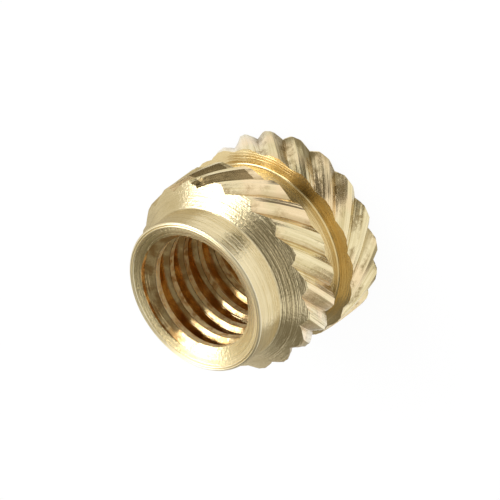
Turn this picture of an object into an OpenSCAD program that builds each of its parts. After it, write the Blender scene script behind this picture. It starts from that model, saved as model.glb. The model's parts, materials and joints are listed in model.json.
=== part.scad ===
// Threaded insert for plastic: a brass bush with an internal thread, a plain
// pilot collar, a shoulder cone and two helical knurl bands of opposite hand.
// It stands on its knurled end, with the pilot collar upward. Millimetres, +Z up.
// The bore is the thread's minor diameter; the thread itself is not cut here.

/* [Thread] */
// Nominal thread diameter
thread_d = 3; // [2.8:0.05:3.2]
// Thread pitch
thread_pitch = 0.5; // [0.4:0.05:0.6]
// Countersink diameter at the pilot end
pilot_sink_d = 3.32; // [3:0.02:3.34]
// Countersink diameter at the knurled end
rear_sink_d = 3.1; // [2.8:0.05:3.6]
// Countersink included angle, in degrees
sink_angle = 124; // [90:1:130]

/* [Pilot and shoulder] */
// Pilot collar diameter
collar_d = 3.54; // [3.48:0.02:3.7]
// Pilot collar length
collar_len = 0.7; // [0.4:0.05:1.5]
// Edge break on the pilot collar's rim
collar_break = 0.05; // [0.02:0.01:0.07]
// Shoulder cone length, from the collar to the first knurl crest
cone_len = 0.42; // [0.2:0.02:0.8]

/* [Knurl bands] */
// Diameter over the knurl crests
knurl_d = 4.5; // [4.4:0.05:5]
// Teeth around each band
tooth_count = 18; // [12:1:24]
// Depth of the knurl grooves
groove_depth = 0.15; // [0.1:0.01:0.22]
// Width of each crest, around the circumference
crest_w = 0.18; // [0.05:0.01:0.3]
// Helix angle of the teeth from the axis, in degrees
helix_angle = 45; // [20:1:50]
// Angle from the rear band's teeth to the front band's, where the two would meet
front_band_turn = -5.5; // [-10:0.5:10]
// Front band length, along the crests
front_band_len = 0.9; // [0.5:0.05:1.5]
// Rear band length, along the crests
rear_band_len = 0.92; // [0.5:0.02:1.5]
// Edge break on the knurled end
rear_break = 0.04; // [0.01:0.01:0.1]

/* [Neck between the bands] */
// Neck floor diameter
neck_d = 3.82; // [3.6:0.02:3.9]
// Neck floor length
neck_len = 0.49; // [0.2:0.01:0.8]
// Length of the neck's short slope behind the front band
neck_drop_len = 0.1; // [0.05:0.01:0.3]
// Length of the neck's slope up to the rear band
neck_rise_len = 0.07; // [0.05:0.01:0.3]

/* [Hidden] */

// Twice the height that a metric internal thread's crests stand in from its
// nominal diameter, as a share of the pitch
thread_height_share = 1.0825;
bore_d = thread_d - thread_height_share * thread_pitch;

// Heights of the section's corners above the knurled end
rear_band_top = rear_band_len;
neck_floor_low = rear_band_top + neck_rise_len;
neck_floor_high = neck_floor_low + neck_len;
front_band_low = neck_floor_high + neck_drop_len;
front_band_top = front_band_low + front_band_len;
collar_low = front_band_top + cone_len;
overall_len = collar_low + collar_len;
neck_mid = (neck_floor_low + neck_floor_high) / 2;

crest_r = knurl_d / 2;
root_r = crest_r - groove_depth;
collar_r = collar_d / 2;
neck_r = neck_d / 2;

// The turned outline passes this far outside the crests, along the same slopes,
// so that the teeth keep their own lands
crest_margin = 0.05;
outline_r = crest_r + crest_margin;
neck_rise_run = neck_rise_len * crest_margin / (crest_r - neck_r);
neck_drop_run = neck_drop_len * crest_margin / (crest_r - neck_r);
cone_run = cone_len * crest_margin / (crest_r - collar_r);

// Countersink depths, from their diameters and the included angle
half_angle_tan = tan(sink_angle / 2);
pilot_sink_depth = (pilot_sink_d - bore_d) / 2 / half_angle_tan;
rear_sink_depth = (rear_sink_d - bore_d) / 2 / half_angle_tan;

// Cutters run this far past the faces that they open
overshoot = 0.1;
round_steps = 96;
tooth_slices = 9;

tooth_pitch_angle = 360 / tooth_count;
crest_half_angle = crest_w / crest_r * 90 / PI;

// Angle by which a tooth turns over a length of band
function helix_turn(band_len) = band_len * tan(helix_angle) / crest_r * 180 / PI;

// A point on the tooth section, from its radius and angle
function polar(radius, angle) = [radius * cos(angle), radius * sin(angle)];

// Tooth section: a narrow crest, then a V groove midway to the next crest
tooth_section = [
    for (tooth = [0 : tooth_count - 1])
        each [
            polar(crest_r, tooth * tooth_pitch_angle - crest_half_angle),
            polar(crest_r, tooth * tooth_pitch_angle + crest_half_angle),
            polar(root_r, (tooth + 0.5) * tooth_pitch_angle)
        ]
];

// Outline of the turned blank, from the axis at the knurled end to the pilot rim
module blank_outline() {
    polygon([
        [0, 0],
        [crest_r - rear_break, 0],
        [outline_r, rear_break + crest_margin],
        [outline_r, rear_band_top - neck_rise_run],
        [neck_r, neck_floor_low],
        [neck_r, neck_floor_high],
        [outline_r, front_band_low + neck_drop_run],
        [outline_r, front_band_top - cone_run],
        [collar_r, collar_low],
        [collar_r, overall_len - collar_break],
        [collar_r - collar_break, overall_len],
        [0, overall_len]
    ]);
}

// A length of toothed bar; hand is 1 for a right-hand helix and -1 for a left-hand one
module toothed_bar(bar_len, hand) {
    linear_extrude(height = bar_len, twist = -hand * helix_turn(bar_len), slices = tooth_slices)
        polygon(tooth_section);
}

// Bore at the thread's minor diameter, right through
module thread_bore() {
    translate([0, 0, -overshoot])
        cylinder(h = overall_len + 2 * overshoot, d = bore_d, $fn = round_steps);
}

// Countersinks at both ends, each a cone that reaches past its face
module countersinks() {
    translate([0, 0, overall_len - pilot_sink_depth])
        cylinder(
            h = pilot_sink_depth + overshoot,
            r1 = bore_d / 2,
            r2 = pilot_sink_d / 2 + overshoot * half_angle_tan,
            $fn = round_steps
        );
    translate([0, 0, -overshoot])
        cylinder(
            h = rear_sink_depth + overshoot,
            r1 = rear_sink_d / 2 + overshoot * half_angle_tan,
            r2 = bore_d / 2,
            $fn = round_steps
        );
}

module threaded_insert() {
    color([0.85, 0.73, 0.45])
        difference() {
            intersection() {
                rotate_extrude($fn = round_steps)
                    blank_outline();
                union() {
                    toothed_bar(neck_mid, -1);
                    translate([0, 0, neck_mid])
                        rotate(front_band_turn)
                            toothed_bar(overall_len - neck_mid, 1);
                }
            }
            thread_bore();
            countersinks();
        }
}

threaded_insert();
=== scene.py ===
import json
import math

import bmesh
import bpy
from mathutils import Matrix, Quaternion, Vector, noise


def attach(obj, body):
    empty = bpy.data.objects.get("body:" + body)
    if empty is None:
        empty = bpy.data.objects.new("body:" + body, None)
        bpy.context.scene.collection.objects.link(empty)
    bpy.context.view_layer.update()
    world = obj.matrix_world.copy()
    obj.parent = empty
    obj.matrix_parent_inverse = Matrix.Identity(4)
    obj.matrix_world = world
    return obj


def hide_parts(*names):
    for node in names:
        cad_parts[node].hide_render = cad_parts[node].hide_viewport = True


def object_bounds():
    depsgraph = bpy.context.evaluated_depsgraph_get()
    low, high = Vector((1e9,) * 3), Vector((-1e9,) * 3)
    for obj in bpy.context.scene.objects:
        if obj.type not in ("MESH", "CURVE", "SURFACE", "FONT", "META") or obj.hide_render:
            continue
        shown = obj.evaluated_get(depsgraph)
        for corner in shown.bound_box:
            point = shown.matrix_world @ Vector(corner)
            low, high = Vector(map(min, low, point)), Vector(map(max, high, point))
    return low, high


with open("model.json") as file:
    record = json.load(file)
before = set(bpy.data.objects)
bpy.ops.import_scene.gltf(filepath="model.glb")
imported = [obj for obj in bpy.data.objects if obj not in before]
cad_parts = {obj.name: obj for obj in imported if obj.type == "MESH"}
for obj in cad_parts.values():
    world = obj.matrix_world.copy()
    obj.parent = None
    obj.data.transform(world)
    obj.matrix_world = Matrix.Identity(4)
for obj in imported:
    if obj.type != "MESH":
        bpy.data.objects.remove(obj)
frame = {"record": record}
cadLow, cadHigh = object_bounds()

mm = 0.001
weld = 0.001 * mm  # points closer than this are one point
overshoot = 0.1 * mm  # tools reach this far past the ends
mounts = {m["name"]: m for m in frame["record"]["mounts"]}
overallLength = cadHigh.z
knurlRadius = (cadHigh.x - cadLow.x) / 2
collarRadius = mounts["pilot"]["dims"]["r_mm"] * mm
boreRadius = mounts["thread"]["dims"]["r_mm"] * mm


# small helpers

def clearSelection():
    if bpy.context.object and bpy.context.object.mode != "OBJECT":
        bpy.ops.object.mode_set(mode="OBJECT")
    bpy.ops.object.select_all(action="DESELECT")


def pick(thing):
    clearSelection()
    thing.select_set(True)
    bpy.context.view_layer.objects.active = thing


def selectVerts(thing, wanted):
    # in edit mode: the vertices that pass the test, and nothing else
    mesh = bmesh.from_edit_mesh(thing.data)
    for part in (mesh.faces, mesh.edges):
        for item in part:
            item.select = False
    for vert in mesh.verts:
        vert.select = bool(wanted(vert))
    mesh.select_flush_mode()
    bmesh.update_edit_mesh(thing.data)


def turnBy(angle):
    # with no window the turn comes out the other way round, hence the minus
    bpy.ops.transform.rotate(value=-angle, orient_axis="Z", center_override=(0, 0, 0))


def scaleBy(factor):
    bpy.ops.transform.resize(value=(factor, factor, 1), center_override=(0, 0, 0))


def putInOrder(mesh):
    # a boolean numbers its points and faces differently each time, and what follows goes by their order
    spots = [tuple(vert.co) for vert in mesh.vertices]
    order = sorted(range(len(spots)), key=lambda i: spots[i])
    rank = {old: new for new, old in enumerate(order)}
    faces = []
    for face in mesh.polygons:
        corners = [rank[i] for i in face.vertices]
        first = corners.index(min(corners))
        faces.append((corners[first:] + corners[:first], face.material_index))
    faces.sort()
    mesh.clear_geometry()
    mesh.from_pydata([spots[i] for i in order], [], [corners for corners, finish in faces])
    for face, (corners, finish) in zip(mesh.polygons, faces):
        face.material_index = finish


def applyBoolean(body, tool, operation):
    pick(body)
    cut = body.modifiers.new("cut", "BOOLEAN")
    cut.operation = operation
    cut.solver = "EXACT"
    cut.object = tool
    cut.material_mode = "TRANSFER"
    bpy.ops.object.modifier_apply(modifier=cut.name)
    bpy.data.objects.remove(tool)
    putInOrder(body.data)
    bpy.ops.object.mode_set(mode="EDIT")
    bpy.ops.mesh.select_all(action="SELECT")
    bpy.ops.mesh.remove_doubles(threshold=weld)
    bpy.ops.mesh.dissolve_degenerate(threshold=weld)
    bpy.ops.object.mode_set(mode="OBJECT")


# turned blank: a ring carried round the outside, over the rim and back down the hole

blank = {
    "around": 360,
    "collarLength": 0.70 * mm,
    "coneLength": 0.42 * mm,
    "coneFoot": 0.02 * mm,  # the cone runs into the collar over this length
    "footStep": 0.004 * mm,
    "rimBreak": 0.05 * mm,
    # the rim from outside in: a rounded break, two low ridges with a tool line between, a rounded lip;
    # each pair is a share of the rim's width, and a drop in rim breaks
    "rimCrown": (
        (0.0, 0.80), (0.08, 0.42), (0.22, 0.14), (0.38, 0.0), (0.52, 0.14),
        (0.60, 0.50), (0.68, 0.14), (0.80, 0.0), (0.92, 0.16), (1.0, 0.42),
    ),
    "edgeRound": 0.012 * mm,
    "rearBreak": 0.04 * mm,
    "rearBandTop": 0.92 * mm,
    "rearRun": 0.01 * mm,  # the neck's slopes start this far inside the bands
    "frontRun": 0.015 * mm,
    "neckRadius": 1.91 * mm,
    "neckLow": 0.99 * mm,
    "neckHigh": 1.48 * mm,
    "neckRound": 0.03 * mm,
    "neckFillet": ((1, 0), (0.3, 0.4), (0, 1.4)),  # outwards and along, in neck rounds
    "frontBandLow": 1.58 * mm,
    "pilotSink": 1.66 * mm,
    "rearSink": 1.55 * mm,
    "rearLip": 0.3,  # in edge rounds
    "sinkHalfAngle": math.radians(62),
    "sinkRings": 18,
    "sinkCrown": 1.2,
    "coreRadius": 1.12 * mm,
    "margin": 0.05 * mm,
    "faceSlack": 0.005 * mm,
    "smoothAngle": math.radians(11),
}


def blankOutline(b):
    outer = knurlRadius + b["margin"]
    collarLow = overallLength - b["collarLength"]
    coneSlope = (knurlRadius - collarRadius) / b["coneLength"]
    coneLow = collarLow - b["coneLength"] - b["margin"] / coneSlope
    sinkTan = math.tan(b["sinkHalfAngle"])
    foot, lip = b["coneFoot"], b["rearLip"] * b["edgeRound"]
    neck, bend = b["neckRadius"], b["neckRound"]
    fillet = [(neck + bend * out, bend * along) for out, along in b["neckFillet"]]
    return [
        (knurlRadius - b["rearBreak"], 0),
        (outer, b["rearBreak"] + b["margin"]),
        (outer, b["rearBandTop"] - b["rearRun"]),
        *[(radius, b["neckLow"] + along) for radius, along in fillet],
        *[(radius, b["neckHigh"] - along) for radius, along in reversed(fillet)],
        (outer, b["frontBandLow"] + b["frontRun"]),
        (outer, coneLow),
        (collarRadius + foot, collarLow - foot / coneSlope),
        (collarRadius + b["footStep"], collarLow),
        (collarRadius, collarLow + foot),
        (collarRadius, overallLength - b["rimBreak"] - b["edgeRound"]),
        *crownedRim(b),
        *sinkSteps(b),
        (b["coreRadius"], (b["rearSink"] - b["coreRadius"]) / sinkTan),
        (b["rearSink"] - lip, lip),
        (b["rearSink"] + b["edgeRound"], 0),
        (knurlRadius - b["rearBreak"], 0),
    ]


def crownedRim(b):
    width = collarRadius - b["pilotSink"]
    return [(collarRadius - width * share, overallLength - b["rimBreak"] * drop)
            for share, drop in b["rimCrown"]]


def sinkSteps(b):
    # the countersink, a little crowned, in short steps so that a torn edge stays local
    width = b["pilotSink"] - b["coreRadius"]
    depth = width / math.tan(b["sinkHalfAngle"])
    innerDrop = b["rimBreak"] * b["rimCrown"][-1][1]
    steps = []
    for ring in range(b["sinkRings"]):
        share = (ring + 1) / b["sinkRings"]
        height = overallLength - innerDrop - depth * share ** b["sinkCrown"]
        steps.append((b["pilotSink"] - width * share, height))
    return steps


def makeBlank(b):
    rings = blankOutline(b)
    startRadius, startHeight = rings[0]
    clearSelection()
    bpy.ops.mesh.primitive_circle_add(vertices=b["around"], radius=startRadius, location=(0, 0, startHeight))
    body = bpy.context.object
    body.name = body.data.name = "insertBody"
    bpy.ops.object.mode_set(mode="EDIT")
    bpy.ops.mesh.select_all(action="SELECT")
    for (wasRadius, wasHeight), (radius, height) in zip(rings, rings[1:]):
        bpy.ops.mesh.extrude_edges_move(TRANSFORM_OT_translate={"value": (0, 0, height - wasHeight)})
        scaleBy(radius / wasRadius)
    bpy.ops.mesh.select_all(action="SELECT")
    bpy.ops.mesh.remove_doubles(threshold=2 * weld)
    bpy.ops.mesh.normals_make_consistent(inside=False)
    bpy.ops.object.mode_set(mode="OBJECT")
    for finish in (turnedBrass, neckBrass, rimBrass, sinkBrass):
        body.data.materials.append(finish)
    for face in body.data.polygons:
        face.material_index = blankFinish(b, face.center)
    return body


def blankFinish(b, spot):
    # 0 turned all over, 1 in the neck, 2 on the rim, 3 in the countersink
    radius = spot.xy.length
    nearNeck = b["rearBandTop"] - b["margin"] < spot.z < b["frontBandLow"] + b["margin"]
    if nearNeck and b["neckRadius"] - b["faceSlack"] < radius < knurlRadius + b["margin"] - b["faceSlack"]:
        return 1
    if spot.z > overallLength / 2 and radius < b["pilotSink"]:
        return 3
    return 2 if spot.z > overallLength - b["rimBreak"] else 0


# knurl: one bar, left-hand teeth up to the neck and right-hand teeth above it

knurl = {
    "teeth": 18,
    "pointsPerTooth": 28,
    "crestWidth": 0.18 * mm,
    "crestStops": (0, 0.5, 0.95),  # from the crest's middle outwards, in half widths
    "shoulder": 1.15,  # where the flank starts, in half widths
    "shoulderDrop": 0.07,  # and how far down, in groove depths
    "helixAngle": math.radians(45),
    "lipHeight": 0.006 * mm,
    "lipFall": 10.5,  # how steeply the lip along a crest falls away, per pitch
    "rearRoots": (2.062 * mm, 2.186 * mm),
    "frontRoots": (2.071 * mm, 2.133 * mm),
    "frontPhase": math.radians(-5.5),
    "start": -0.05 * mm,
    "joint": 1.235 * mm,
    "jointGap": 0.02 * mm,
    "rearTop": 0.99 * mm,
    "frontLow": 1.48 * mm,
    "frontTop": 2.92 * mm,
    "step": 0.05 * mm,
    "crestClear": 0.0006 * mm,  # what always stays free inside the full radius
    "flankClear": 0.002 * mm,
    "chipTooth": 16,
    "chipSide": -0.2,  # in pitches from the crest's middle
    "chipHeight": 2.43 * mm,
    "chipReach": 0.17 * mm,
    "chipDepth": 0.1 * mm,
    "chipSteep": 1.6,
    "chipFill": 0.75,
    "chipRag": 0.6,
    "chipGrain": 0.05 * mm,
    "chipSlice": 0.4 * mm,
    "pitShadeDepth": 0.03 * mm,  # the chip's pit gets painted shade where it is deeper than this
    "shadeSides": (-0.46, -0.12),  # in pitches, so one flank of the groove
    "shadeHeights": {16: (1.70 * mm, 2.62 * mm), 17: (1.62 * mm, 2.15 * mm)},
}

# small ridges of each tooth's own; across counts per pitch, along counts per millimetre
ridges = {
    "height": 0.009 * mm,
    "endShare": 0.3,  # crests and roots keep this much of it
    "across": 11,
    "along": 0.6,
    "driftHeight": 0.014 * mm,
    "driftAcross": 0.25,
    "driftAlong": 1.7,
    "toothShift": 7.3,  # apart enough for each tooth and band to have its own
    "bandShift": 311,
    "slices": (3.1, 8.4),
}


def toothPlaces(k):
    # angle from the crest's middle, and how far down the flank, for each point of a tooth
    pitch = 2 * math.pi / k["teeth"]
    half = k["crestWidth"] / knurlRadius / 2
    last = k["pointsPerTooth"] // 2
    stops = len(k["crestStops"])
    shoulder = half * k["shoulder"]
    places = []
    for i in range(k["pointsPerTooth"]):
        side = i if i <= last else i - k["pointsPerTooth"]
        step = abs(side)
        if step < stops:
            angle, depth = half * k["crestStops"][step], 0
        else:
            share = (step - stops) / (last - stops)
            angle = shoulder + (pitch / 2 - shoulder) * share
            depth = k["shoulderDrop"] + (1 - k["shoulderDrop"]) * share
        places.append((math.copysign(angle, side), depth))
    return places


def crestAngle(k, height):
    # where the teeth have turned to at a height
    twist = math.tan(k["helixAngle"]) / knurlRadius
    if height <= k["joint"]:
        return -twist * height
    return k["frontPhase"] + twist * (min(height, k["frontTop"]) - k["joint"])


def grooveRoot(k, height):
    if height <= k["joint"]:
        low, high = k["rearRoots"]
        share = height / k["rearTop"]
    else:
        low, high = k["frontRoots"]
        share = (height - k["frontLow"]) / (k["frontTop"] - k["frontLow"])
    return low + (high - low) * min(max(share, 0), 1)


def toothAt(k, spot):
    # which tooth a point belongs to, and how far it is to the side of it, in pitches
    share = (math.atan2(spot.y, spot.x) - crestAngle(k, spot.z)) * k["teeth"] / (2 * math.pi)
    return round(share) % k["teeth"], share - round(share)


def barHeights(k):
    # even steps, with a stop wherever the teeth or their depth change
    low, high = k["joint"] - k["jointGap"], k["joint"] + k["jointGap"]
    stops = (k["rearTop"], low, high, k["frontLow"], k["frontTop"])
    heights = [k["start"]]
    while heights[-1] < k["frontTop"] - weld:
        here = heights[-1]
        ahead = here + k["step"]
        for stop in stops:
            if here + weld < stop < ahead:
                ahead = stop
        heights.append(ahead)
    heights.append(overallLength + overshoot)
    return heights


def makeKnurlBar(k, r):
    pitch = 2 * math.pi / k["teeth"]
    count = k["pointsPerTooth"]
    around = k["teeth"] * count
    start = k["start"]
    clearSelection()
    bpy.ops.mesh.primitive_circle_add(vertices=around, radius=knurlRadius,
                                      fill_type="NGON", location=(0, 0, 0))
    bar = bpy.context.object
    bar.name = bar.data.name = "knurlBar"
    bpy.ops.object.mode_set(mode="EDIT")
    # every tooth's point number n is turned to its place on the tooth at once
    firstAngle = math.atan2(bar.data.vertices[0].co.y, bar.data.vertices[0].co.x)
    for place, (angle, depth) in enumerate(toothPlaces(k)):
        selectVerts(bar, lambda v: v.index % count == place)
        here = firstAngle + place * pitch / count
        there = angle if angle >= 0 else angle + pitch
        turnBy(there - here + crestAngle(k, start))
        scaleBy(1 - depth * (knurlRadius - grooveRoot(k, start)) / knurlRadius)
    bpy.ops.mesh.select_all(action="SELECT")
    bpy.ops.transform.translate(value=(0, 0, start))
    heights = barHeights(k)
    for low, high in zip(heights, heights[1:]):
        turn = crestAngle(k, high) - crestAngle(k, low)
        if low < k["joint"] < high:
            # the front teeth go on from the nearest rear ones
            turn = (turn + pitch / 2) % pitch - pitch / 2
        bpy.ops.mesh.extrude_region_move(TRANSFORM_OT_translate={"value": (0, 0, high - low)})
        turnBy(turn)
    bpy.ops.mesh.select_all(action="SELECT")
    bpy.ops.mesh.normals_make_consistent(inside=False)
    bpy.ops.object.mode_set(mode="OBJECT")
    roughenTeeth(bar, k, r)
    for finish in (rearKnurlBrass, frontKnurlBrass, stainedBrass):
        bar.data.materials.append(finish)
    for face in bar.data.polygons:
        face.material_index = 2 if isPaintedShade(k, face.center) else int(face.center.z > k["joint"])
    return bar


# painted shade: the chip's deep pit, and a stretch of one flank in two grooves, get the dark finish
def isPaintedShade(k, spot):
    tooth, side = toothAt(k, spot)
    low, high = k["shadeHeights"].get(tooth, (0, 0))
    left, right = k["shadeSides"]
    across = side * 2 * math.pi / k["teeth"] * knurlRadius
    inPit = chipDrop(k, tooth, across, spot.z) > k["pitShadeDepth"]
    return inPit or low < spot.z < high and left < side < right


def roughenTeeth(bar, k, r):
    # each groove gets its real depth at each height, and each tooth small ridges of its own
    pitch = 2 * math.pi / k["teeth"]
    places = toothPlaces(k)
    ridgeSlice, driftSlice = r["slices"]
    for vert in bar.data.vertices:
        height = vert.co.z
        tooth, side = toothAt(k, vert.co)
        depth = min(places, key=lambda p: abs(abs(p[0]) - abs(side) * pitch))[1]
        onCrest, onFlank = depth == 0, 0 < depth < 1
        band = 0 if height <= k["joint"] else 1
        across = tooth * r["toothShift"] + band * r["bandShift"] + side * r["across"]
        along = height / mm
        ridge = noise.noise(Vector((across, along * r["along"], ridgeSlice))) * r["height"]
        ridge *= 1 if onFlank else r["endShare"]
        drift = noise.noise(Vector((across * r["driftAcross"], along * r["driftAlong"], driftSlice)))
        ridge += drift * r["driftHeight"] * depth
        drop = depth * (knurlRadius - grooveRoot(k, height))
        lip = k["lipHeight"] * max(0, 1 - abs(side) * k["lipFall"]) if onCrest else 0
        clear = k["crestClear"] if onCrest else k["flankClear"]
        radius = min(knurlRadius - drop - lip + ridge, knurlRadius - clear)
        radius -= chipDrop(k, tooth, side * pitch * knurlRadius, height)
        flat = Vector((vert.co.x, vert.co.y, 0)).normalized() * radius
        vert.co = (flat.x, flat.y, height)


def chipDrop(k, tooth, across, height):
    # a ragged pit where one groove of the front band runs out
    if tooth != k["chipTooth"] or height <= k["joint"]:
        return 0
    aside = across - k["chipSide"] * 2 * math.pi / k["teeth"] * knurlRadius
    share = 1 - math.hypot(aside, height - k["chipHeight"]) / k["chipReach"]
    rag = noise.noise(Vector((across, height, k["chipSlice"])) / k["chipGrain"])
    return k["chipDepth"] * min(max(share * k["chipSteep"], 0), 1) * (k["chipFill"] + k["chipRag"] * rag)


# thread: a screw that is cut out of the hole

thread = {
    "majorRadius": 1.5 * mm,
    "crestCut": 0.056 * mm,  # crests cut back from the nominal bore, as a wide tapping drill leaves them
    "pitch": 0.5 * mm,
    "runIn": 1.2,  # turns before the knurled end
    "turns": 10,
    "stepsPerTurn": 120,
    "crestShare": 0.264,
    "rootShare": 0.24,
    "soften": 0.005 * mm,
    # the worn corners of crest and root: outwards and along, in softenings
    "crestCorner": ((0, -1), (0.3, 0), (1.7, 0.6)),
    "rootCorner": ((-1.7, -0.6), (-0.3, 0.3)),
    "bulge": 0.008 * mm,
    "bulgeStops": (0.25, 0.5, 0.75),
    "startAngle": math.radians(82),
    "fret": 0.009 * mm,
    "fretReach": 0.34 * mm,
    "fretGrain": 0.05 * mm,
    "fretSeed": 4,
}


def threadOutline(t):
    # one pitch, from crest to crest of the hole's thread
    pitch, soften = t["pitch"], t["soften"]
    low, high = boreRadius + t["crestCut"], t["majorRadius"]
    crestEdge = pitch * t["crestShare"] / 2
    rootEdge = pitch / 2 - pitch * t["rootShare"] / 2
    crestCorner = [(low + soften * out, crestEdge + soften * along) for out, along in t["crestCorner"]]
    rootCorner = [(high + soften * out, rootEdge + soften * along) for out, along in t["rootCorner"]]
    (startRadius, startHeight), (endRadius, endHeight) = crestCorner[-1], rootCorner[0]
    flank = []
    for share in t["bulgeStops"]:
        bulge = t["bulge"] * 4 * share * (1 - share)
        height = startHeight + (endHeight - startHeight) * share + bulge
        flank.append((startRadius + (endRadius - startRadius) * share, height))
    half = [(low, 0), *crestCorner, *flank, *rootCorner, (high, pitch / 2)]
    return half + [(radius, pitch - height) for radius, height in reversed(half[:-1])]


def makeThreadTool(t):
    outline = threadOutline(t)
    start = -t["runIn"] * t["pitch"]
    clearSelection()
    # a plane shrunk to one point, which is then drawn out along the outline
    bpy.ops.mesh.primitive_plane_add(size=mm, location=(0, 0, 0))
    tool = bpy.context.object
    tool.name = tool.data.name = "threadTool"
    bpy.ops.object.mode_set(mode="EDIT")
    bpy.ops.mesh.select_all(action="SELECT")
    bpy.ops.mesh.merge(type="CENTER")
    bpy.ops.mesh.select_all(action="SELECT")
    bpy.ops.transform.translate(value=(outline[0][0], 0, start))
    for (wasRadius, wasHeight), (radius, height) in zip(outline, outline[1:]):
        step = (radius - wasRadius, 0, height - wasHeight)
        bpy.ops.mesh.extrude_vertices_move(TRANSFORM_OT_translate={"value": step})
    bpy.ops.mesh.select_all(action="SELECT")
    # the groove's middle crosses the knurled end at the start angle
    turnBy(t["startAngle"] + 2 * math.pi * (start + t["pitch"] / 2) / t["pitch"])
    bpy.ops.object.mode_set(mode="OBJECT")
    screw = tool.modifiers.new("screw", "SCREW")
    screw.axis = "Z"
    screw.screw_offset = t["pitch"]
    screw.iterations = t["turns"]
    screw.steps = screw.render_steps = t["stepsPerTurn"]
    screw.use_merge_vertices = True
    screw.merge_threshold = weld
    bpy.ops.object.modifier_apply(modifier=screw.name)
    bpy.ops.object.mode_set(mode="EDIT")
    bpy.ops.mesh.select_all(action="SELECT")
    bpy.ops.mesh.remove_doubles(threshold=weld)
    for height, outward in ((-overshoot, -1), (overallLength + overshoot, 1)):
        bpy.ops.mesh.select_all(action="SELECT")
        bpy.ops.mesh.bisect(plane_co=(0, 0, height), plane_no=(0, 0, outward), use_fill=True,
                            clear_outer=True, threshold=weld / 10)
    bpy.ops.mesh.select_all(action="SELECT")
    bpy.ops.mesh.normals_make_consistent(inside=False)
    bpy.ops.object.mode_set(mode="OBJECT")
    tool.data.materials.append(threadBrass)
    return tool


def fretMouth(body, t):
    # the feather edge where the thread breaks out of the countersink is torn a little,
    # and no point is left below the floor by rounding
    noise.seed_set(t["fretSeed"])
    names = [slot.name for slot in body.material_slots]
    finishes = {}
    for face in body.data.polygons:
        for corner in face.vertices:
            finishes.setdefault(corner, set()).add(names[face.material_index])
    for vert in body.data.vertices:
        vert.co.z = max(vert.co.z, 0)
        onCut = {"threadBrass", "sinkBrass"} <= finishes.get(vert.index, set())
        if onCut and overallLength - vert.co.z < t["fretReach"]:
            vert.co += noise.noise_vector(vert.co / t["fretGrain"]) * t["fret"]


# finishes: every pattern reads Object coordinates

class Nodes:
    # adds nodes to one tree and joins them up, left to right
    def __init__(self, tree):
        self.tree = tree
        self.column = -1800
        self.columnStep = 60

    def feed(self, socket, value):
        if isinstance(value, bpy.types.NodeSocket):
            self.tree.links.new(value, socket)
        else:
            socket.default_value = value

    def add(self, kind, settings=None, **feeds):
        # a feed is named after its socket, or i and the socket's number
        node = self.tree.nodes.new(kind)
        node.location = (self.column, 0)
        self.column += self.columnStep
        for name, value in (settings or {}).items():
            setattr(node, name, value)
        for name, value in feeds.items():
            numbered = name[0] == "i" and name[1:].isdigit()
            self.feed(node.inputs[int(name[1:]) if numbered else name], value)
        return node

    def calc(self, operation, a, b=0.0, clamp=False):
        node = self.add("ShaderNodeMath", {"operation": operation, "use_clamp": clamp}, i0=a, i1=b)
        return node.outputs[0]

    def noise(self, vector, scale, detail=3.0, roughness=0.5):
        node = self.add("ShaderNodeTexNoise", i0=vector, Scale=scale, Detail=detail, Roughness=roughness)
        return node.outputs["Fac"]

    def spread(self, value, low, high, to=(0.0, 1.0), smooth=False):
        kind = "SMOOTHSTEP" if smooth else "LINEAR"
        node = self.add("ShaderNodeMapRange", {"interpolation_type": kind},
                        i0=value, i1=low, i2=high, i3=to[0], i4=to[1])
        return node.outputs[0]

    def blend(self, share, a, b):
        node = self.add("ShaderNodeMix", {"data_type": "RGBA"}, i0=share)
        for slot, value in ((6, a), (7, b)):
            self.feed(node.inputs[slot], value if isinstance(value, bpy.types.NodeSocket) else (*value, 1))
        return node.outputs[2]

    def vector(self, x, y, z=0.0):
        return self.add("ShaderNodeCombineXYZ", i0=x, i1=y, i2=z).outputs[0]

    def vectorCalc(self, operation, a, b=(0.0, 0.0, 0.0)):
        node = self.add("ShaderNodeVectorMath", {"operation": operation}, i0=a, i1=b)
        return node.outputs["Value" if operation in ("LENGTH", "DISTANCE") else "Vector"]


def startBrass(name):
    finish = bpy.data.materials.new(name)
    finish.use_nodes = True
    n = Nodes(finish.node_tree)
    shader = finish.node_tree.nodes["Principled BSDF"]
    shader.inputs["Metallic"].default_value = 1
    place = n.add("ShaderNodeTexCoord").outputs["Object"]
    xyz = n.add("ShaderNodeSeparateXYZ", i0=place).outputs
    radius = n.vectorCalc("LENGTH", n.vector(xyz[0], xyz[1]))
    return finish, n, shader, place, xyz, radius


def finishBrass(n, shader, colour, roughness, height, depth):
    n.feed(shader.inputs["Base Color"], colour)
    n.feed(shader.inputs["Roughness"], roughness)
    bump = n.add("ShaderNodeBump", Strength=1.0, Distance=depth, Height=height)
    n.feed(shader.inputs["Normal"], bump.outputs["Normal"])


# noise scales are per metre, here and below
turningMarks = {
    "patch": 700,
    "drift": 900,
    "wander": 0.06 * mm,  # how far the rings stray from true
    "fine": 3.3,  # times the scale of the main rings
    "fineHeight": 0.35,
    "speckle": 16000,
    "tangentTurn": 0.25,  # a quarter turn: the gloss spreads across the rings
}


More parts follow.
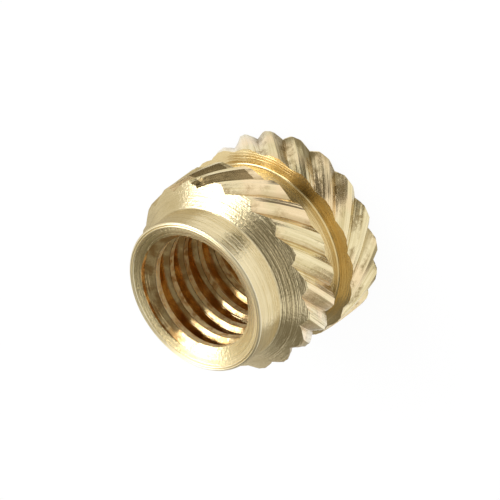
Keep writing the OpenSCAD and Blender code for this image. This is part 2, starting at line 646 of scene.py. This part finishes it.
def makeTurnedBrass(name, t):
    # rings left by the turning tool, on any surface of revolution
    m = turningMarks
    finish, n, shader, place, xyz, radius = startBrass(name)
    stray = n.calc("MULTIPLY", n.noise(place, m["drift"], 1), m["wander"])
    section = n.vectorCalc("ADD", n.vector(radius, xyz[2]), n.vector(0.0, 0.0, stray))
    marks = n.noise(section, t["marks"], 4, 0.6)
    fine = n.noise(section, t["marks"] * m["fine"], 2, 0.5)
    speckle = n.noise(place, m["speckle"], 2, 0.6)
    height = n.calc("ADD", marks, n.calc("MULTIPLY", fine, m["fineHeight"]))
    height = n.calc("ADD", height, n.calc("MULTIPLY", speckle, t["speckle"]))
    patch = n.noise(place, m["patch"], 2)
    tone = n.calc("ADD", n.spread(patch, 0.35, 0.65, (0.0, 0.5)), n.spread(marks, 0.3, 0.7, (0.0, 0.35)))
    colour = n.blend(tone, t["pale"], t["deep"])
    # a painted dark reflection: a soft dark patch round one fixed spot
    if "darkReflectionSpot" in t:
        away = n.vectorCalc("DISTANCE", place, t["darkReflectionSpot"])
        near = n.spread(away, t["darkReflectionReach"], 0.0, (-0.15, 1.0))
        darkReflectionShare = n.calc("ADD", near, n.spread(speckle, 0.3, 0.7, (-0.2, 0.2)), clamp=True)
        colour = n.blend(darkReflectionShare, colour, t["darkReflectionTone"])
    rough = n.spread(patch, 0.3, 0.7, (t["roughness"] - 0.03, t["roughness"] + 0.04))
    rough = n.calc("ADD", n.spread(marks, 0.3, 0.7, (-0.05, 0.05)), rough)
    around = n.vector(n.calc("MULTIPLY", xyz[1], -1.0), xyz[0])
    n.feed(shader.inputs["Tangent"], n.vectorCalc("NORMALIZE", around))
    shader.inputs["Anisotropic"].default_value = t["anisotropy"]
    shader.inputs["Anisotropic Rotation"].default_value = m["tangentTurn"]
    finishBrass(n, shader, colour, rough, height, t["depth"])
    return finish


rollingMarks = {
    "blush": 1100,
    "blot": 1500,
    "mottle": 2600,
    "furrows": 5600,
    "furrowStretch": 0.04,  # along the teeth, against across them
    "scores": 16000,
    "scoreStretch": 0.06,
    "scoreDown": 0.8,
    "grain": 14000,
    "flankFrom": 0.012 * mm,  # below the crests
    "flankFull": 0.04 * mm,
    "rootFrom": 0.08 * mm,
    "rootFull": 0.15 * mm,
    "stainRough": 0.2,  # how much rougher the mottled flanks are at full share
}


def makeKnurlBrass(name, t):
    # fine scores that run along the teeth, and a pitted grain between them
    m = rollingMarks
    finish, n, shader, place, xyz, radius = startBrass(name)
    angle = n.calc("ARCTAN2", xyz[1], xyz[0])
    lead = n.calc("MULTIPLY", xyz[2], t["hand"] * math.tan(knurl["helixAngle"]) / knurlRadius)
    across = n.calc("MULTIPLY", n.calc("SUBTRACT", angle, lead), knurlRadius)
    scoreLength = n.calc("MULTIPLY", xyz[2], m["scoreStretch"])
    scoreDown = n.calc("MULTIPLY", radius, m["scoreDown"])
    scores = n.noise(n.vector(across, scoreLength, scoreDown), m["scores"], 4, 0.6)
    furrowLength = n.calc("MULTIPLY", xyz[2], m["furrowStretch"])
    furrows = n.noise(n.vector(across, furrowLength, radius), m["furrows"], 2)
    grain = n.noise(place, m["grain"], 3, 0.6)
    height = n.calc("ADD", scores, n.calc("MULTIPLY", furrows, t["furrows"]))
    height = n.calc("ADD", height, n.calc("MULTIPLY", grain, t["grain"]))
    lines = n.spread(scores, 0.35, 0.65, (-0.2, 0.4))
    lines = n.calc("ADD", lines, n.spread(furrows, 0.35, 0.65, (-0.15, 0.35)))
    blot = n.noise(place, m["blot"], 2)
    tone = n.calc("ADD", n.spread(blot, 0.3, 0.7, (0.0, 0.25)), lines)
    colour = n.blend(tone, t["pale"], t["deep"])
    blush = n.spread(n.noise(place, m["blush"], 2), 0.48, 0.62, (0.0, 0.6))
    colour = n.blend(blush, colour, t["blush"])
    # mottled stain on the flanks, in the dark tone
    flank = n.spread(radius, knurlRadius - m["flankFrom"], knurlRadius - m["flankFull"])
    mottle = n.spread(n.noise(place, m["mottle"], 2), 0.46, 0.6)
    mottle = n.calc("MULTIPLY", mottle, n.spread(grain, 0.4, 0.56, (0.25, 1.0)))
    darkTone = n.calc("MULTIPLY", n.calc("MULTIPLY", flank, mottle), t["stainAndShadeShare"])
    colour = n.blend(darkTone, colour, t["darkTone"])
    # darker towards the groove roots: painted shade, in the same dark tone as the stain
    paintedRootShade = n.spread(radius, knurlRadius - m["rootFrom"], knurlRadius - m["rootFull"], (0.0, t["rootShare"]))
    colour = n.blend(paintedRootShade, colour, t["darkTone"])
    rough = n.spread(grain, 0.3, 0.7, (t["roughness"] - 0.05, t["roughness"] + 0.08))
    rough = n.calc("ADD", rough, n.calc("MULTIPLY", darkTone, m["stainRough"]))
    finishBrass(n, shader, colour, rough, height, t["depth"])
    return finish


threadMarks = {
    "blot": 1800,
    "tarnish": 3200,
    "mottle": 7000,
    "torn": 11000,
    "scores": 24000,
    "drilledFull": 0.002 * mm,  # above the crests
    "drilledEnd": 0.012 * mm,
}


def makeThreadBrass(name, t):
    # tapped flanks, crests torn by the drill, and a painted dark shade line along the crest edges
    m = threadMarks
    finish, n, shader, place, xyz, radius = startBrass(name)
    crest = boreRadius + thread["crestCut"]
    drilled = n.spread(radius, crest + m["drilledEnd"], crest + m["drilledFull"])
    scores = n.noise(n.vector(radius, xyz[2]), m["scores"], 3)
    blot = n.noise(place, m["blot"], 3)
    torn = n.calc("MULTIPLY", n.noise(place, m["torn"], 3, 0.6), n.calc("MULTIPLY", drilled, t["torn"]))
    height = n.calc("MULTIPLY", scores, n.spread(drilled, 0.0, 1.0, (1.4, 3.2)))
    height = n.calc("ADD", height, n.calc("MULTIPLY", blot, t["waver"]))
    height = n.calc("ADD", height, torn)
    tarnish = n.spread(n.noise(place, m["tarnish"], 4, 0.65), 0.4, 0.56)
    colour = n.blend(tarnish, t["pale"], t["deep"])
    mottle = n.spread(n.noise(place, m["mottle"], 3), 0.42, 0.56, (0.1, 0.95))
    colour = n.blend(n.calc("MULTIPLY", drilled, mottle), colour, t["crest"])
    # painted shade: a dark line just past each crest edge, where crest meets flank
    away = n.calc("ABSOLUTE", n.calc("SUBTRACT", radius, crest + t["crestShadeLine"]))
    colour = n.blend(n.spread(away, t["crestShadeLine"], 0.0, (0.0, 0.8)), colour, t["crestShadeTone"])
    colour = n.blend(n.spread(scores, 0.5, 0.7, (0.0, 0.5)), colour, t["scratch"])
    flank = n.spread(blot, 0.3, 0.7, (t["roughness"] - 0.03, t["roughness"] + 0.05))
    rough = n.calc("ADD", flank, n.calc("MULTIPLY", drilled, t["crestRoughness"] - t["roughness"]))
    finishBrass(n, shader, colour, rough, height, t["depth"])
    return finish


turnedBrass = makeTurnedBrass("turnedBrass", {
    "pale": (0.95, 0.83, 0.54),
    "deep": (0.67, 0.54, 0.29),
    "marks": 15000,
    "speckle": 0.5,
    "roughness": 0.15,
    "anisotropy": 0.3,
    "depth": 0.012 * mm,
})
sinkBrass = makeTurnedBrass("sinkBrass", {
    "pale": (0.91, 0.77, 0.45),
    "deep": (0.60, 0.46, 0.22),
    "marks": 21000,
    "speckle": 0.8,
    "roughness": 0.24,
    "anisotropy": 0.3,
    "depth": 0.012 * mm,
})
rimBrass = makeTurnedBrass("rimBrass", {
    "pale": (0.95, 0.85, 0.60),
    "deep": (0.86, 0.74, 0.46),
    "marks": 16000,
    "speckle": 0.6,
    "roughness": 0.32,
    "anisotropy": 0.0,
    "depth": 0.006 * mm,
})
# the dark finish that paints shade in the chip's pit and along one groove flank
stainedBrass = makeKnurlBrass("stainedBrass", {
    "hand": 1,
    "pale": (0.42, 0.31, 0.15),
    "deep": (0.20, 0.14, 0.06),
    "blush": (0.42, 0.29, 0.14),
    "darkTone": (0.12, 0.09, 0.04),
    "stainAndShadeShare": 0.6,
    "rootShare": 0.3,
    "grain": 0.4,
    "furrows": 1.0,
    "roughness": 0.25,
    "depth": 0.010 * mm,
})
neckBrass = makeTurnedBrass("neckBrass", {
    "pale": (0.85, 0.69, 0.38),
    "deep": (0.66, 0.51, 0.25),
    "marks": 11000,
    "speckle": 0.15,
    "roughness": 0.2,
    "anisotropy": 0.4,
    "depth": 0.014 * mm,
    # where the painted dark reflection sits on the neck, how far it reaches, and its tone
    "darkReflectionSpot": (0.69 * mm, -1.83 * mm, 1.02 * mm),
    "darkReflectionReach": 0.46 * mm,
    "darkReflectionTone": (0.42, 0.32, 0.15),
})
rearKnurlBrass = makeKnurlBrass("rearKnurlBrass", {
    "hand": -1,
    "pale": (0.92, 0.80, 0.50),
    "deep": (0.62, 0.50, 0.24),
    "blush": (0.96, 0.72, 0.44),
    "darkTone": (0.36, 0.26, 0.11),
    # the rear flanks take more of the mottled stain than the front's: real tarnish, laid on thicker as
    # painted shade
    "stainAndShadeShare": 0.85,
    "rootShare": 0.5,
    "grain": 0.16,
    "furrows": 2.0,
    "roughness": 0.17,
    "depth": 0.010 * mm,
})
frontKnurlBrass = makeKnurlBrass("frontKnurlBrass", {
    "hand": 1,
    "pale": (0.92, 0.80, 0.50),
    "deep": (0.62, 0.50, 0.24),
    "blush": (1.0, 0.76, 0.48),
    "darkTone": (0.44, 0.30, 0.13),
    "stainAndShadeShare": 0.5,
    "rootShare": 0.5,
    "grain": 0.05,
    "furrows": 2.4,
    "roughness": 0.15,
    "depth": 0.011 * mm,
})
# warmer and more saturated than the outside brass: painted interreflection inside the hole; the tarnish
# between pale and deep is the metal's own
threadBrass = makeThreadBrass("threadBrass", {
    "pale": (1.0, 0.78, 0.42),
    "deep": (0.61, 0.37, 0.14),
    "crest": (1.0, 0.88, 0.58),
    "crestShadeTone": (0.22, 0.14, 0.06),
    "scratch": (0.55, 0.36, 0.15),
    "crestShadeLine": 0.012 * mm,
    "torn": 12.0,
    "waver": 3.5,
    "roughness": 0.14,
    "crestRoughness": 0.7,
    "depth": 0.004 * mm,
})


# camera, floor and light

cameraSet = {
    "azimuth": math.radians(-82),
    "fromAxis": math.radians(48),
    "roll": math.radians(-126),
    "distance": 320 * mm,
    "lens": 1076,
    "aimRight": 1.188 * mm,
    "aimUp": 1.017 * mm,
    "nearest": 1 * mm,
    "furthest": 10,
}


def makeCamera(c):
    back = Vector((
        math.sin(c["fromAxis"]) * math.cos(c["azimuth"]),
        math.sin(c["fromAxis"]) * math.sin(c["azimuth"]),
        math.cos(c["fromAxis"]),
    ))
    turn = back.to_track_quat("Z", "Y") @ Quaternion((0, 0, 1), c["roll"])
    right, up = turn @ Vector((1, 0, 0)), turn @ Vector((0, 1, 0))
    aim = Vector((0, 0, overallLength)) + right * c["aimRight"] + up * c["aimUp"]
    clearSelection()
    bpy.ops.object.camera_add(location=aim + back * c["distance"], rotation=turn.to_euler())
    camera = bpy.context.object
    camera.name = "viewCamera"
    camera.data.lens = c["lens"]
    camera.data.clip_start = c["nearest"]
    camera.data.clip_end = c["furthest"]
    bpy.context.scene.camera = camera


def direction(azimuth, elevation):
    a, e = math.radians(azimuth), math.radians(elevation)
    return Vector((math.cos(e) * math.cos(a), math.cos(e) * math.sin(a), math.sin(e)))


# studio: a white floor and world, one soft lamp, and warm grey cards and mats that only the metal mirrors;
# the dark mats under and beside the insert are painted shadow

studio = {
    "floorSize": 1.2,
    "floorTone": 0.9,
    "ownLight": 0.95,
    "distance": 150 * mm,
    "lampSize": 100 * mm,
    "lampEnergy": 0.12,
    "cardEdge": 0.15,
    "cardTint": (1.0, 0.92, 0.74),
    "matEdge": 0.8 * mm,
    "matStart": 2.4 * mm,
    "matLift": 0.02 * mm,
}


def seesBackground(n):
    # 1 for rays that should find a plain white studio: straight, mirrored or through glass
    path = n.add("ShaderNodeLightPath").outputs
    mirrored = n.calc("MAXIMUM", path["Is Glossy Ray"], path["Is Transmission Ray"])
    return n.calc("MAXIMUM", path["Is Camera Ray"], mirrored)


def makeFloor(t):
    clearSelection()
    bpy.ops.mesh.primitive_plane_add(size=t["floorSize"], location=(0, 0, 0))
    floor = bpy.context.object
    floor.name = "paleFloor"
    finish = bpy.data.materials.new("floorWhite")
    finish.use_nodes = True
    finish.node_tree.nodes.clear()
    n = Nodes(finish.node_tree)
    tone = t["floorTone"]
    paper = n.add("ShaderNodeBsdfDiffuse", Color=(tone, tone, tone, 1))
    glow = n.add("ShaderNodeEmission", Strength=1.0)
    share = n.calc("MULTIPLY", seesBackground(n), t["ownLight"])
    both = n.add("ShaderNodeMixShader", i0=share, i1=paper.outputs[0], i2=glow.outputs[0])
    n.add("ShaderNodeOutputMaterial", i0=both.outputs[0])
    floor.data.materials.append(finish)


def makeWorld():
    world = bpy.data.worlds.new("studio")
    bpy.context.scene.world = world
    world.use_nodes = True
    world.node_tree.nodes["Background"].inputs["Color"].default_value = (1, 1, 1, 1)
    world.node_tree.nodes["Background"].inputs["Strength"].default_value = 1


def makeSoftLamp(t, azimuth, elevation):
    toward = direction(azimuth, elevation)
    clearSelection()
    bpy.ops.object.light_add(type="AREA", location=toward * t["distance"],
                             rotation=toward.to_track_quat("Z", "Y").to_euler())
    lamp = bpy.context.object
    lamp.name = "softLamp"
    lamp.data.size = t["lampSize"]
    lamp.data.energy = t["lampEnergy"]


def dressCard(t, card, tone, edge):
    # warm grey with a soft edge, and only mirrored rays see it
    bpy.ops.object.transform_apply(location=True, rotation=True, scale=True)
    card.visible_camera = False
    card.visible_diffuse = False
    card.visible_shadow = False
    card.visible_transmission = False
    finish = bpy.data.materials.new(card.name)
    finish.use_nodes = True
    finish.node_tree.nodes.clear()
    n = Nodes(finish.node_tree)
    spot = n.add("ShaderNodeSeparateXYZ", i0=n.add("ShaderNodeTexCoord").outputs["UV"]).outputs
    side = [n.calc("ABSOLUTE", n.calc("SUBTRACT", spot[axis], 0.5)) for axis in (0, 1)]
    fade = n.spread(n.calc("MAXIMUM", *side), 0.5 - edge, 0.5, (1.0, 0.0), smooth=True)
    grey = n.add("ShaderNodeEmission", Color=(*t["cardTint"], 1), Strength=tone)
    clear = n.add("ShaderNodeBsdfTransparent")
    both = n.add("ShaderNodeMixShader", i0=fade, i1=clear.outputs[0], i2=grey.outputs[0])
    n.add("ShaderNodeOutputMaterial", i0=both.outputs[0])
    card.data.materials.append(finish)


def makeCard(t, name, azimuth, elevation, width, height, tone):
    # a card that stands off and faces the insert
    toward = direction(azimuth, elevation)
    clearSelection()
    bpy.ops.mesh.primitive_plane_add(size=1, location=toward * t["distance"],
                                     rotation=toward.to_track_quat("Z", "Y").to_euler())
    card = bpy.context.object
    card.name = name
    card.scale = (width, height, 1)
    dressCard(t, card, tone, t["cardEdge"])


def makeMat(t, name, azimuth, width, reach, tone, middle=False):
    # a mat that lies on the floor, from beside the insert outwards, or right under it
    place = Vector() if middle else direction(azimuth, 0) * (t["matStart"] + reach / 2)
    clearSelection()
    bpy.ops.mesh.primitive_plane_add(size=1, location=(place.x, place.y, t["matLift"]),
                                     rotation=(0, 0, math.radians(azimuth)))
    mat = bpy.context.object
    mat.name = name
    mat.scale = (reach, width, 1)
    dressCard(t, mat, tone, min(t["cardEdge"], t["matEdge"] / reach))


print("turning the blank")
body = makeBlank(blank)
print("rolling the knurl")
applyBoolean(body, makeKnurlBar(knurl, ridges), "INTERSECT")
print("cutting the thread")
applyBoolean(body, makeThreadTool(thread), "DIFFERENCE")
fretMouth(body, thread)
pick(body)
bpy.ops.object.shade_smooth_by_angle(angle=blank["smoothAngle"])
print("faces", len(body.data.polygons), "vertices", len(body.data.vertices))
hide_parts("threaded_insert")
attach(body, "root")

print("setting the studio")
makeCamera(cameraSet)
makeFloor(studio)
makeWorld()
makeSoftLamp(studio, azimuth=15, elevation=48)
makeCard(studio, "cameraSideCard", azimuth=-104, elevation=66, width=300 * mm, height=170 * mm, tone=0.18)
makeCard(studio, "farSideCard", azimuth=151, elevation=33, width=220 * mm, height=230 * mm, tone=0.2)
makeCard(studio, "nearSideCard", azimuth=-25, elevation=6, width=220 * mm, height=70 * mm, tone=0.18)
# a painted shadow: a dark sheet under the insert, which only the metal mirrors
makeMat(studio, "footMat", azimuth=0, width=4.8 * mm, reach=4.8 * mm, tone=0.3, middle=True)
makeCard(studio, "sideCard", azimuth=58, elevation=10, width=140 * mm, height=110 * mm, tone=0.64)
# a painted contact shadow on the floor beside the insert, which only the metal mirrors
makeMat(studio, "nearMat", azimuth=-58, width=2.6 * mm, reach=4.2 * mm, tone=0.16)
makeMat(studio, "farMat", azimuth=130, width=22 * mm, reach=34 * mm, tone=0.42)
makeMat(studio, "sideMat", azimuth=62, width=36 * mm, reach=50 * mm, tone=0.6)
bpy.context.scene.view_settings.view_transform = "Standard"
